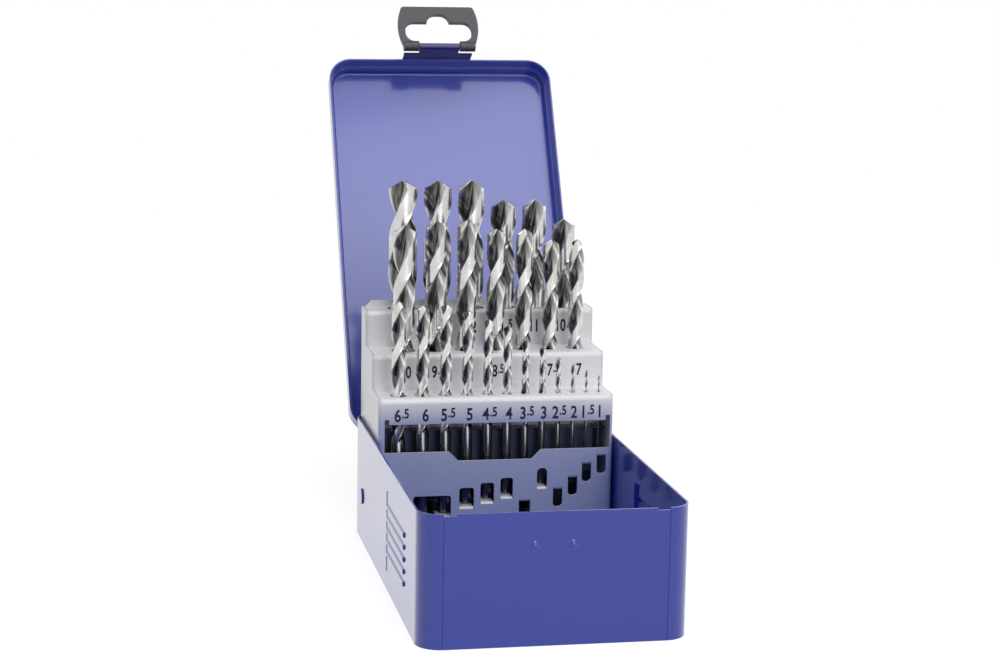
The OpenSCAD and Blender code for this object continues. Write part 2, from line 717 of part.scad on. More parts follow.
module rack_front_sheet() color([0.6, 0.63, 0.75]) {
    difference() {
        step_sheet(rack_y, step_1_depth, plate_1_z, front_low_z, front_low_z);
        row_holes(front_bits, row_1_left, gap_1, row_1_y, plate_1_z);
        long_window();
        shared_window();
        for (i = [3:11]) rest_window(i);
        translate([x_1(2), rack_y - over, dimple_z]) rotate([-90, 0, 0]) difference() {
            cylinder(r = dimple_r, h = over + rack_sheet / 3);
            cylinder(r = dimple_r / 2, h = 2 * over);
        }
    }
    for (i = [1, 2]) translate([window_x(i) - tab_w(i) / 2, rack_y + rack_sheet / 2,
            front_rest[i] - rack_sheet])
        cube([tab_w(i), rest_tab_len - rack_sheet / 2, rack_sheet]);
    for (i = [3:11]) rest_tab(i);
}

// Lip that stands at the back of a plate, with sloping ends.
module lip(y_back, z) {
    w = rack_in_w - 2;
    translate([0, y_back, z - rack_sheet]) rotate([90, 0, 0])
        linear_extrude(height = rack_sheet)
            polygon([[-w / 2, 0], [w / 2, 0], [w / 2, rack_sheet],
                     [w / 2 - lip_h, rack_sheet + lip_h],
                     [-w / 2 + lip_h, rack_sheet + lip_h], [-w / 2, rack_sheet]]);
}

// One wide window for the second and third bits.
module shared_window() {
    x0 = window_x(1) - window_w(1) / 2;
    x1 = window_x(2) + front_bits[2][0] / 2;
    front_cut() translate([(x0 + x1) / 2, front_rest[2]])
        arch(x1 - x0, shared_window_h, window_corner_r);
}

function tab_w(i) = window_w(i) - 2 * tab_side_gap;

// Tab that is bent in from a window's bottom, or from its top, to carry a bit.
module rest_tab(i) {
    up = front_tab[i] > 0;
    translate([window_x(i), rack_y, front_rest[i] - (up ? 0 : rack_sheet)])
        mirror([0, 0, up ? 0 : 1]) {
            translate([0, tab_bend_r, -tab_bend_r]) top_bend(tab_w(i), tab_bend_r, rack_sheet);
            translate([-tab_w(i) / 2, tab_bend_r, -rack_sheet])
                cube([tab_w(i), rest_tab_len - tab_bend_r, rack_sheet]);
        }
}

// Outline of a side plate in Y and Z, with its lower back corner an arc.
module side_outline() {
    heel_angle = asin((pivot_z - side_low_z) / heel_r);
    heel = [for (t = [0:0.2:1])
        [pivot_y + heel_r * cos(heel_angle * (1 - t)), pivot_z - heel_r * sin(heel_angle * (1 - t))]];
    polygon(concat([[rack_y + bend_r, front_low_z], [rack_y + side_toe, side_low_z]], heel,
        [[rack_back_y, plate_3_z], [step_3_y + bend_r, plate_3_z], [step_3_y + bend_r, plate_2_z],
         [step_2_y + bend_r, plate_2_z], [step_2_y + bend_r, plate_1_z],
         [rack_y + bend_r, plate_1_z]]));
}

// Side plate with its pivot hole and curved stop slot.
module rack_side(side) color([0.87, 0.88, 0.9]) mirror([side < 0 ? 1 : 0, 0, 0]) {
    x0 = rack_w / 2 - rack_sheet;
    difference() {
        translate([x0, 0, 0]) rotate([90, 0, 90]) linear_extrude(height = rack_sheet) side_outline();
        translate([x0 - over, pivot_y, pivot_z]) rotate([0, 90, 0])
            cylinder(r = pivot_r + pivot_clear, h = rack_sheet + 2 * over);
        stop_slot(x0);
    }
}

// Slot that the stop stud runs in as the rack folds through a quarter turn.
module stop_slot(x0) {
    r = stop_r + stop_clear;
    end_angle = asin(r / stop_arm);
    translate([x0 - over, pivot_y, pivot_z]) rotate([0, 90, 0])
        rotate([0, 0, -atan2(stop_sink, stop_reach) - end_angle])
            rotate_extrude(angle = 90 + 2 * end_angle, $fn = 96)
                translate([stop_arm - r, 0]) square([2 * r, rack_sheet + 2 * over]);
}

module rack_side_left() rack_side(-1);
module rack_side_right() rack_side(1);

module rack_middle_sheet() color([0.8, 0.82, 0.86]) difference() {
    step_sheet(step_2_y, step_2_depth, plate_2_z, guide_z, plate_1_z);
    row_holes(middle_bits, row_2_left, gap_2, row_2_y, plate_2_z);
}

module rack_back_sheet() color([0.84, 0.85, 0.89]) difference() {
    step_sheet(step_3_y, rack_back_y - step_3_y, plate_3_z, guide_z, plate_2_z);
    row_holes(back_bits, row_3_left, gap_3, row_3_y, plate_3_z);
}

// Lower plate that guides the two back rows, with a flange behind the front row.
module rack_guide_plate() color([0.3, 0.33, 0.45]) {
    y0 = row_1_y + front_bits[0][0] / 2 + 2 * rack_sheet;
    last = len(front_bits) - 1;
    flange_w = x_1(last) - front_bits[last][0] + rack_in_w / 2;
    difference() {
        translate([-rack_in_w / 2, y0, guide_z - rack_sheet])
            cube([rack_in_w, rack_back_y - y0, rack_sheet]);
        row_holes(middle_bits, row_2_left, gap_2, row_2_y, guide_z);
        row_holes(back_bits, row_3_left, gap_3, row_3_y, guide_z);
    }
    translate([-rack_in_w / 2, y0, guide_z - guide_flange_h])
        cube([flange_w, rack_sheet, guide_flange_h]);
}

// Shelf under the back row, with a raised rest for the largest front bit.
module rack_shelf() color([0.8, 0.81, 0.84]) {
    w = rack_in_w;
    y0 = row_1_y - front_bits[0][0] / 2 + rack_sheet / 4;
    rest_w = front_bits[0][0] + window_spare;
    rest_h = front_rest[0] - shelf_z;
    translate([-w / 2, y0, shelf_z - rack_sheet]) cube([w, rack_back_y - y0, rack_sheet]);
    translate([-w / 2, rack_back_y - rack_sheet, shelf_z]) cube([w, rack_sheet, shelf_flange_h]);
    translate([x_1(0) - rest_w / 2, y0, shelf_z]) cube([rest_w, rack_sheet, rest_h]);
    translate([x_1(0) - rest_w / 2, y0, front_rest[0] - rack_sheet])
        cube([rest_w, 2 * (row_1_y - y0), rack_sheet]);
}

// Folded strip whose steps carry the middle row.
module rack_rest_steps() color([0.8, 0.81, 0.84]) {
    depth = middle_bits[1][0] + 4 * rack_sheet;
    for (pair = [[1, 2], [3, 4], [5, 6]]) {
        a = pair[0];
        b = pair[1];
        z = middle_rest[a];
        x0 = x_2(a) - middle_bits[a][0] / 2 - gap_2 / 2;
        x1 = x_2(b) + middle_bits[b][0] / 2 + gap_2 / 2;
        low = a == 1 ? shelf_z : middle_rest[a - 2];
        translate([x0, row_2_y - depth / 2, z - rack_sheet]) cube([x1 - x0, depth, rack_sheet]);
        translate([x0, row_2_y - depth / 2, low - (a == 1 ? 0 : rack_sheet)])
            cube([rack_sheet, depth, z - low + (a == 1 ? 0 : rack_sheet)]);
        if (a == 5) translate([x1 - rack_sheet, row_2_y - depth / 2, shelf_z])
            cube([rack_sheet, depth, z - shelf_z]);
    }
}

// ---- Bits ----

// Half of the fluted section, as shares of the radius at equal angles.
flute_shares = [0.99, 0.99, 0.62, 0.36, 0.42, 0.76];
// Points round one section of the flutes.
ring_n = 2 * len(flute_shares);

// One section, turned by a, with its flutes cut to the share f of their depth.
function flute_ring(r, a, f, z) = [for (k = [0:ring_n - 1])
    let (q = 360 * k / ring_n + a, share = 0.99 + (flute_shares[k % 6] - 0.99) * f)
    [r * share * cos(q), r * share * sin(q), z]];

// Triangles between ring j and the next one.
function ring_faces(j) = [for (k = [0:ring_n - 1])
    let (m = (k + 1) % ring_n, p = j * ring_n, q = p + ring_n)
    each [[p + k, q + k, q + m], [p + k, q + m, p + m]]];

// Fluted part from z = 0 to its point, turning right-handed as it rises.
module flutes(d, h) {
    r = d / 2;
    tip_h = r / tan(point_angle / 2);
    run_h = run_out_ratio * d;
    turn = 360 / (lead_ratio * d);
    steps = ceil((h - tip_h - run_h) * turn / twist_step);
    heights = concat([0, run_h / 2], [for (j = [0:steps]) run_h + (h - tip_h - run_h) * j / steps]);
    n = len(heights);
    rings = [for (z = heights) flute_ring(r, z * turn, min(1, z / run_h), z)];
    polyhedron(
        points = concat([for (g = rings) each g], [[0, 0, 0], [0, 0, h]]),
        faces = concat(
            [for (j = [0:n - 2]) each ring_faces(j)],
            [for (k = [0:ring_n - 1]) [n * ring_n, k, (k + 1) % ring_n]],
            [for (k = [0:ring_n - 1]) let (p = (n - 1) * ring_n)
                [p + (k + 1) % ring_n, p + k, n * ring_n + 1]]));
}

// Twist bit with a plain shank, given as diameter, length and flute length.
module twist_bit(spec) {
    sink = 0.4;
    cylinder(d = spec[0], h = spec[1] - spec[2]);
    translate([0, 0, spec[1] - spec[2] - sink]) flutes(spec[0], spec[2] + sink);
}

// Places the bit of the given diameter in its row.
module bit(d) color([0.8, 0.8, 0.82]) {
    for (i = [0:len(front_bits) - 1]) if (front_bits[i][0] == d)
        translate([x_1(i), row_1_y, front_rest[i]]) twist_bit(front_bits[i]);
    for (i = [0:len(middle_bits) - 1]) if (middle_bits[i][0] == d)
        translate([x_2(i), row_2_y, middle_rest[i]]) twist_bit(middle_bits[i]);
    for (i = [0:len(back_bits) - 1]) if (back_bits[i][0] == d)
        translate([x_3(i), row_3_y, shelf_z]) twist_bit(back_bits[i]);
}

// Bit nodes are named after their size, such as bit_6_5 for 6.5 mm.
function bit_name(d) = floor(d) == d ? str("bit_", d) : str("bit_", floor(d), "_5");

base_pan();
side_wall_left();
side_wall_right();
hinge_base_leaf();
hinge_pin();
rack_pivot_pins();
rack_stop_studs();
lid_shell();
hinge_lid_leaf();
latch_tab();
hanger_clip();
rack_front_sheet();
rack_side_left();
rack_side_right();
rack_middle_sheet();
rack_back_sheet();
rack_guide_plate();
rack_shelf();
rack_rest_steps();
for (spec = concat(front_bits, middle_bits, back_bits))
    bit(spec[0]);
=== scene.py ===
"""Looks of a sheet-steel drill bit case with a stepped rack of twist bits.

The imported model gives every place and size. This script dresses it: painted
sheet with softened edges, ground twist bits, printed sizes, a moulded hanger
clip, and a plain white studio. Lengths are in millimetres and angles in
degrees, unless their text says otherwise.
"""

from __future__ import annotations

import json
import logging
import math
from dataclasses import dataclass, field
from enum import Enum

import bmesh
import bpy
from mathutils import Matrix, Vector

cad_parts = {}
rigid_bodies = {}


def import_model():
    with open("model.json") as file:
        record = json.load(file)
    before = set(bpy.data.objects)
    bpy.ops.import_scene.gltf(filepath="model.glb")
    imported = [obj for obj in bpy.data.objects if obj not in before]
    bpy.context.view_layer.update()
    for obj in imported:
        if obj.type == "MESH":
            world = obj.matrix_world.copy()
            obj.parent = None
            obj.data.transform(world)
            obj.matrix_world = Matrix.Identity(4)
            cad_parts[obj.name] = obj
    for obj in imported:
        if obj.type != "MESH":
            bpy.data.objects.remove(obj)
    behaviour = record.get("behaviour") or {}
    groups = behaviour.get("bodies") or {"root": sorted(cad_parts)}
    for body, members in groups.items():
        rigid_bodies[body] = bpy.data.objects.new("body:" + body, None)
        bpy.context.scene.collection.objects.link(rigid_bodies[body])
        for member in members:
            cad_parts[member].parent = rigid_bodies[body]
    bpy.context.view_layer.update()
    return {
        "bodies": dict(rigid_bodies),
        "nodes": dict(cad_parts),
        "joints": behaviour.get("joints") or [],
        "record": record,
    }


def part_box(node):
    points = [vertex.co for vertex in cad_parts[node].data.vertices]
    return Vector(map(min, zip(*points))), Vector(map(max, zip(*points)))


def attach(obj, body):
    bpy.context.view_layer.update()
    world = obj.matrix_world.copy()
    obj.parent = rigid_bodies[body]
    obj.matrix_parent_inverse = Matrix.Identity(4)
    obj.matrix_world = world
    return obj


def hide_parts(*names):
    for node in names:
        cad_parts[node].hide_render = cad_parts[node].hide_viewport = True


LOG = logging.getLogger("drill_bit_case")
MM = 0.001
TINY = 1e-9
Colour = tuple[float, float, float]
Place = tuple[float, float, float]


class Body(Enum):
    """The case's own bodies. Each bit is a body besides, named as its node is."""

    BASE = "base"
    LID = "lid"
    RACK = "rack"
    HANGER = "hanger"


# ---- Finishes ----


@dataclass(frozen=True)
class GroupSocket:
    """One socket of a shader node group.

    Attributes:
        name: Its name.
        kind: Its socket type.
        is_input: Whether it is an input.
    """

    name: str
    kind: str
    is_input: bool = True


class SurfaceGroup:
    """Node group that varies a colour and a roughness and roughens the surface.

    It is built once and placed in every finish with that finish's own values.
    """

    NAME = "surface_grain"
    BLOTCH_DETAIL = 4
    GRAIN_DETAIL = 3
    NOISE_MIDDLE = 0.5
    SOCKETS = (
        GroupSocket("Colour", "NodeSocketColor"),
        GroupSocket("Roughness", "NodeSocketFloat"),
        GroupSocket("Blotch size", "NodeSocketFloat"),
        GroupSocket("Blotch", "NodeSocketFloat"),
        GroupSocket("Grain size", "NodeSocketFloat"),
        GroupSocket("Grain height", "NodeSocketFloat"),
        GroupSocket("Stretch", "NodeSocketVector"),
        GroupSocket("Colour", "NodeSocketColor", False),
        GroupSocket("Roughness", "NodeSocketFloat", False),
        GroupSocket("Normal", "NodeSocketVector", False),
    )

    @classmethod
    def get(cls) -> bpy.types.NodeTree:
        """Returns the group, building it the first time."""
        found = bpy.data.node_groups.get(cls.NAME)
        return found or cls._build()

    @classmethod
    def _build(cls) -> bpy.types.NodeTree:
        """Builds the group's nodes.

        Returns:
            The new node group.
        """
        tree = bpy.data.node_groups.new(cls.NAME, "ShaderNodeTree")
        for socket in cls.SOCKETS:
            way = "INPUT" if socket.is_input else "OUTPUT"
            tree.interface.new_socket(name=socket.name, in_out=way, socket_type=socket.kind)
        node, link = tree.nodes.new, tree.links.new
        source, sink = node("NodeGroupInput"), node("NodeGroupOutput")
        place = node("ShaderNodeTexCoord")
        stretched = node("ShaderNodeVectorMath")
        stretched.operation = "MULTIPLY"
        link(place.outputs["Object"], stretched.inputs[0])
        link(source.outputs["Stretch"], stretched.inputs[1])
        blotches = node("ShaderNodeTexNoise")
        blotches.inputs["Detail"].default_value = cls.BLOTCH_DETAIL
        link(place.outputs["Object"], blotches.inputs["Vector"])
        link(source.outputs["Blotch size"], blotches.inputs["Scale"])
        centred = node("ShaderNodeMath")
        centred.operation = "SUBTRACT"
        centred.inputs[1].default_value = cls.NOISE_MIDDLE
        link(blotches.outputs["Fac"], centred.inputs[0])
        change = node("ShaderNodeMath")
        change.operation = "MULTIPLY"
        link(centred.outputs[0], change.inputs[0])
        link(source.outputs["Blotch"], change.inputs[1])
        brighter = node("ShaderNodeMath")
        brighter.inputs[1].default_value = 1
        link(change.outputs[0], brighter.inputs[0])
        tinted = node("ShaderNodeVectorMath")
        tinted.operation = "SCALE"
        link(source.outputs["Colour"], tinted.inputs[0])
        link(brighter.outputs[0], tinted.inputs["Scale"])
        link(tinted.outputs[0], sink.inputs["Colour"])
        rougher = node("ShaderNodeMath")
        rougher.operation = "MULTIPLY"
        link(source.outputs["Roughness"], rougher.inputs[0])
        link(brighter.outputs[0], rougher.inputs[1])
        link(rougher.outputs[0], sink.inputs["Roughness"])
        grain = node("ShaderNodeTexNoise")
        grain.inputs["Detail"].default_value = cls.GRAIN_DETAIL
        link(stretched.outputs[0], grain.inputs["Vector"])
        link(source.outputs["Grain size"], grain.inputs["Scale"])
        bump = node("ShaderNodeBump")
        bump.inputs["Distance"].default_value = MM
        link(source.outputs["Grain height"], bump.inputs["Strength"])
        link(grain.outputs["Fac"], bump.inputs["Height"])
        link(bump.outputs["Normal"], sink.inputs["Normal"])
        return tree


@dataclass(frozen=True)
class Finish:
    """One surface finish, from which a material is made.

    Attributes:
        name: Name of the finish.
        colour: Its colour.
        roughness: Roughness under any clear coat.
        metallic: 1 for bare metal, 0 for paint and plastic.
        coat: Strength of the clear coat.
        coat_roughness: Roughness of the clear coat.
        ior: Index of refraction of the surface and of its coat.
        blotch_size: Scale of the slow changes of colour, per metre.
        blotch: Strength of those changes.
        grain_size: Scale of the fine bumps, per metre.
        grain_height: Strength of the fine bumps.
        stretch: How much closer the bumps lie along each axis.
        slot: The record's material slot, or nothing. Not used.
    """

    name: str
    colour: Colour
    roughness: float
    metallic: float = 0.0
    coat: float = 0.0
    coat_roughness: float = 0.1
    ior: float = 1.4
    blotch_size: float = 30.0
    blotch: float = 0.1
    grain_size: float = 900.0
    grain_height: float = 0.03
    stretch: Place = (1.0, 1.0, 1.0)
    slot: str = ""

    def material(self) -> bpy.types.Material:
        """Returns the finish's material, building it the first time."""
        return bpy.data.materials.get(self.title) or self._build()

    @property
    def title(self) -> str:
        """The material's name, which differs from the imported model's own."""
        return f"{self.name}_finish"

    def _build(self) -> bpy.types.Material:
        """Builds the material.

        Returns:
            The new material.
        """
        made = bpy.data.materials.new(self.title)
        made.use_nodes = True
        made.diffuse_color = (*self.colour, 1)
        shader = made.node_tree.nodes["Principled BSDF"]
        shader.inputs["Metallic"].default_value = self.metallic
        shader.inputs["Coat Weight"].default_value = self.coat
        shader.inputs["Coat Roughness"].default_value = self.coat_roughness
        shader.inputs["Coat IOR"].default_value = self.ior
        shader.inputs["IOR"].default_value = self.ior
        self._grain(made, shader)
        return made

    def _grain(self, made: bpy.types.Material, shader: bpy.types.Node) -> None:
        """Feeds the shader from the shared surface group.

        Args:
            made: The material.
            shader: Its Principled shader.
        """
        group = made.node_tree.nodes.new("ShaderNodeGroup")
        group.node_tree = SurfaceGroup.get()
        group.inputs["Colour"].default_value = (*self.colour, 1)
        group.inputs["Roughness"].default_value = self.roughness
        group.inputs["Blotch size"].default_value = self.blotch_size
        group.inputs["Blotch"].default_value = self.blotch
        group.inputs["Grain size"].default_value = self.grain_size
        group.inputs["Grain height"].default_value = self.grain_height
        group.inputs["Stretch"].default_value = self.stretch
        link = made.node_tree.links.new
        link(group.outputs["Colour"], shader.inputs["Base Color"])
        link(group.outputs["Roughness"], shader.inputs["Roughness"])
        link(group.outputs["Normal"], shader.inputs["Normal"])


def vector_mix(made: bpy.types.Material) -> dict[str, bpy.types.NodeSocket]:
    """Adds a node that mixes two vectors.

    Args:
        made: The material.

    Returns:
        The node's sockets by identifier.
    """
    mix = made.node_tree.nodes.new("ShaderNodeMix")
    mix.data_type = "VECTOR"
    return {socket.identifier: socket for socket in (*mix.inputs, *mix.outputs)}


@dataclass(frozen=True)
class PaintedShadeFade(Finish):
    """Paint whose lower part carries painted shade, which fades out to the paint's own paler
    colour towards the top of its sheet.

    Attributes:
        unshaded_colour: Colour above the fade, the paint's own without painted shade.
        fade_from: Height at which the fade starts.
        fade_to: Height at which it ends.
    """

    unshaded_colour: Colour = (0.8, 0.8, 0.8)
    fade_from: float = 0.0
    fade_to: float = 1.0

    def _build(self) -> bpy.types.Material:
        """Builds the material, with the painted shade fading out between two heights.

        Returns:
            The new material.
        """
        made = super()._build()
        node, link = made.node_tree.nodes.new, made.node_tree.links.new
        group = next(n for n in made.node_tree.nodes if n.type == "GROUP")
        place = node("ShaderNodeTexCoord")
        split = node("ShaderNodeSeparateXYZ")
        link(place.outputs["Object"], split.inputs[0])
        fade = node("ShaderNodeMapRange")
        fade.inputs["From Min"].default_value = self.fade_from * MM
        fade.inputs["From Max"].default_value = self.fade_to * MM
        link(split.outputs["Z"], fade.inputs["Value"])
        # Painted shade low on the sheet, fading to the unshaded colour above.
        mixed = vector_mix(made)
        mixed["A_Vector"].default_value = self.colour
        mixed["B_Vector"].default_value = self.unshaded_colour
        link(fade.outputs["Result"], mixed["Factor_Float"])
        link(mixed["Result_Vector"], group.inputs["Colour"])
        return made


@dataclass(frozen=True)
class BitSteel(Finish):
    """Ground tool steel: bright lands, flutes darkened by painted shade, and marks along the
    twist.

    Attributes:
        flute_shade_colour: Middle colour of a flute's painted shade.
        flute_roughness: Roughness of a flute.
        streak_size: Scale of the marks.
        streak: How far the marks change the colour, as a share of it.
        streak_detail: Detail of the noise that makes the marks.
        noise_from: Level of the noise where the marks are darkest.
        noise_to: Level of the noise where they are brightest.
    """

    flute_shade_colour: Colour = (0.2, 0.2, 0.2)
    flute_roughness: float = 0.3
    streak_size: float = 40.0
    streak: float = 0.3
    streak_detail: float = 5.0
    noise_from: float = 0.3
    noise_to: float = 0.7

    def _build(self) -> bpy.types.Material:
        """Builds the material, with the painted shade of the flutes and the shank read from the
        mesh.

        Returns:
            The new material.
        """
        made = super()._build()
        node, link = made.node_tree.nodes.new, made.node_tree.links.new
        shader = made.node_tree.nodes["Principled BSDF"]
        group = next(n for n in made.node_tree.nodes if n.type == "GROUP")
        mask = node("ShaderNodeAttribute")
        mask.attribute_name = BitShape.FLUTE_SHADE_LAYER
        sweep = node("ShaderNodeAttribute")
        sweep.attribute_name = BitShape.SWEEP
        marks = node("ShaderNodeTexNoise")
        marks.inputs["Scale"].default_value = self.streak_size
        marks.inputs["Detail"].default_value = self.streak_detail
        link(sweep.outputs["Vector"], marks.inputs["Vector"])
        spread = node("ShaderNodeMapRange")
        spread.inputs["From Min"].default_value = self.noise_from
        spread.inputs["From Max"].default_value = self.noise_to
        spread.inputs["To Min"].default_value = 1 - self.streak
        spread.inputs["To Max"].default_value = 1 + self.streak
        link(marks.outputs["Fac"], spread.inputs["Value"])
        dark = node("ShaderNodeVectorMath")
        dark.operation = "SCALE"
        dark.inputs[0].default_value = self.flute_shade_colour
        link(spread.outputs["Result"], dark.inputs["Scale"])
        mixed = vector_mix(made)
        link(mask.outputs["Fac"], mixed["Factor_Float"])
        link(group.outputs["Colour"], mixed["A_Vector"])
        link(dark.outputs[0], mixed["B_Vector"])
        link(mixed["Result_Vector"], shader.inputs["Base Color"])
        rough = node("ShaderNodeMix")
        rough.inputs["B"].default_value = self.flute_roughness
        link(mask.outputs["Fac"], rough.inputs["Factor"])
        link(group.outputs["Roughness"], rough.inputs["A"])
        link(rough.outputs["Result"], shader.inputs["Roughness"])
        return made


CASE_PAINT = Finish(
    "case_paint", (0.028, 0.052, 0.42), 0.3, coat=1.0, coat_roughness=0.1, ior=1.38,
    blotch_size=18, blotch=0.06, grain_size=700, grain_height=0.03, slot="case_paint",
)
TAB_PAINT = Finish(
    "tab_paint", (0.02, 0.026, 0.16), 0.3, coat=1.0, coat_roughness=0.12, ior=1.32,
    blotch_size=25, blotch=0.06, grain_size=700, grain_height=0.03, slot="tab_paint",
)
HINGE_PAINT = Finish(
    "hinge_paint", (0.05, 0.07, 0.5), 0.34, coat=0.8, coat_roughness=0.16, ior=1.32,
    blotch_size=25, blotch=0.06, grain_size=700, grain_height=0.03, slot="hinge_paint",
)
RACK_PAINT = Finish(
    "rack_paint", (0.86, 0.87, 0.9), 0.36, coat=0.5, coat_roughness=0.14, ior=1.35,
    blotch_size=22, blotch=0.03, grain_size=800, grain_height=0.025, slot="rack_paint",
)
# Front sheet in the rack's white paint, with painted shade and a painted reflection of the blue
# case darkening its lower part.
FRONT_PAINTED_SHADE = PaintedShadeFade(
    "front_painted_shade", (0.4, 0.45, 0.66), 0.34, coat=0.8, coat_roughness=0.14, ior=1.35,
    blotch_size=22, blotch=0.03, grain_size=800, grain_height=0.025, slot="rack_paint",
    unshaded_colour=(0.86, 0.87, 0.9), fade_from=62.0, fade_to=70.5,
)
# Painted shade: the guide plate lies in shade behind the windows and takes a dark colour for
# it.
GUIDE_PAINTED_SHADE = Finish(
    "guide_paint", (0.06, 0.08, 0.14), 0.36, coat=0.4, coat_roughness=0.16, ior=1.35,
    blotch_size=22, blotch=0.08, grain_size=800, grain_height=0.025, slot="guide_paint",
)
# Painted shade: the rack's shelf and rests, in the rack's paint, take a dark colour where they
# lie in shade inside the rack.
REST_PAINTED_SHADE = Finish(
    "rest_painted_shade", (0.1, 0.11, 0.15), 0.4, coat=0.4, coat_roughness=0.2, ior=1.35,
    blotch_size=22, blotch=0.08, grain_size=800, grain_height=0.025, slot="rack_paint",
)
PIN_STEEL = Finish(
    "pin_steel", (0.6, 0.6, 0.6), 0.25, metallic=1.0, blotch_size=60, blotch=0.2,
    grain_size=400, grain_height=0.02, stretch=(1, 1, 12), slot="pin_steel",
)
CLIP_PLASTIC = Finish(
    "clip_plastic", (0.036, 0.04, 0.052), 0.36, ior=1.45, blotch_size=60, blotch=0.12,
    grain_size=1600, grain_height=0.05, slot="clip_plastic",
)
MARK_INK = Finish("mark_ink", (0.01, 0.012, 0.045), 0.5, slot="rack_paint")
# Ground steel; the flutes and shanks take the painted shade read from the mesh.
BIT_STEEL = BitSteel(
    "bit_steel", (0.6, 0.6, 0.595), 0.22, metallic=1.0, blotch_size=170, blotch=0.7,
    grain_size=300, grain_height=0.03, stretch=(1, 1, 14), slot="bit_steel",
    flute_shade_colour=(0.1, 0.098, 0.096), flute_roughness=0.26, streak_size=9.0, streak=0.75,
)


# ---- Shared mesh steps ----


def new_piece(bm: bmesh.types.BMesh, name: str, finish: Finish, body: str) -> bpy.types.Object:
    """Turns a bmesh into a piece that rides on a body.

    Args:
        bm: The mesh in metres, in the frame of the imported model. It is freed.
        name: The piece's name.
        finish: Its finish.
        body: The body that it moves with.

    Returns:
        The new object.
    """
    mesh = bpy.data.meshes.new(name)
    bm.to_mesh(mesh)
    bm.free()
    mesh.materials.append(finish.material())
    piece = bpy.data.objects.new(name, mesh)
    bpy.context.scene.collection.objects.link(piece)
    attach(piece, body)
    LOG.info("%s: %d faces on %s", name, len(mesh.polygons), body)
    return piece


def smooth_by_angle(piece: bpy.types.Object, degrees: float) -> None:
    """Shades a piece smooth and keeps edges over the angle sharp.

    Args:
        piece: The piece.
        degrees: The angle.
    """
    mesh = piece.data
    mesh.shade_smooth()
    mesh.set_sharp_from_angle(angle=math.radians(degrees))


@dataclass(frozen=True)
class SoftenedSheet:
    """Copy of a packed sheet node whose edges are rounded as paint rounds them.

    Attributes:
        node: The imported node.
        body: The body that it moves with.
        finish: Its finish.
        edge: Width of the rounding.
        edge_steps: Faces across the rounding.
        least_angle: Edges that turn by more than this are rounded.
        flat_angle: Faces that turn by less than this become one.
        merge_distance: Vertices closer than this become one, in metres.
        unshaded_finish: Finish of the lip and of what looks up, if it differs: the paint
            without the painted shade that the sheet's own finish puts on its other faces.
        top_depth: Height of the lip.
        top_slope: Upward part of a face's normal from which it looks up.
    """

    node: str
    body: Body
    finish: Finish
    edge: float = 0.18
    edge_steps: int = 2
    least_angle: float = 35.0
    flat_angle: float = 0.5
    merge_distance: float = 1e-6
    unshaded_finish: Finish | None = None
    top_depth: float = 2.65
    top_slope: float = 0.35

    def build(self, frame: dict) -> bpy.types.Object:
        """Makes the copy and lets it stand for the node.


        Returns:
            The new piece.
        """
        bm = bmesh.new()
        bm.from_mesh(frame["nodes"][self.node].data)
        bmesh.ops.remove_doubles(bm, verts=bm.verts, dist=self.merge_distance)
        bmesh.ops.dissolve_limit(
            bm,
            angle_limit=math.radians(self.flat_angle),
            verts=bm.verts,
            edges=bm.edges,
            delimit={"NORMAL"},
        )
        self._weigh(bm)
        piece = new_piece(bm, f"dressed_{self.node}", self.finish, self.body.value)
        bevel = piece.modifiers.new("paint_edge", "BEVEL")
        bevel.width = self.edge * MM
        bevel.segments = self.edge_steps
        bevel.limit_method = "WEIGHT"
        bevel.use_clamp_overlap = True
        level = piece.modifiers.new("flat_faces", "WEIGHTED_NORMAL")
        level.keep_sharp = True
        smooth_by_angle(piece, self.least_angle)
        if self.unshaded_finish:
            self._split_painted_shade(piece)
        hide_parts(self.node)
        return piece

    def _split_painted_shade(self, piece: bpy.types.Object) -> None:
        """Gives the faces that look up, and the lip above them, the paler paint without painted
        shade, so that only the other faces keep the painted shade.

        Args:
            piece: The sheet's piece.
        """
        piece.data.materials.append(self.unshaded_finish.material())
        lip_foot = max(v.co.z for v in piece.data.vertices) - self.top_depth * MM
        # Painted light: faces that look up, and the lip, stay pale; the other faces keep the
        # painted shade.
        for face in piece.data.polygons:
            looks_up = face.normal.z > self.top_slope
            face.material_index = int(looks_up or face.center.z > lip_foot)

    def _weigh(self, bm: bmesh.types.BMesh) -> None:
        """Marks the edges to round, which are the sharp ones.

        Args:
            bm: The sheet's mesh.
        """
        weight = bm.edges.layers.float.new("bevel_weight_edge")
        least = math.radians(self.least_angle)
        for edge in bm.edges:
            if len(edge.link_faces) == 2 and edge.calc_face_angle() > least:
                edge[weight] = 1.0


# ---- Twist bits ----


@dataclass(frozen=True)
class BitLayers:
    """Layers of a bit's mesh.

    Attributes:
        key: Each vertex's place round its section.
        mask: Painted shade of the flute and of the shank there, from 0 to 1.
        sweep: Coordinates that follow the twist.
    """

    key: bmesh.types.BMLayerItem
    mask: bmesh.types.BMLayerItem
    sweep: bmesh.types.BMLayerItem


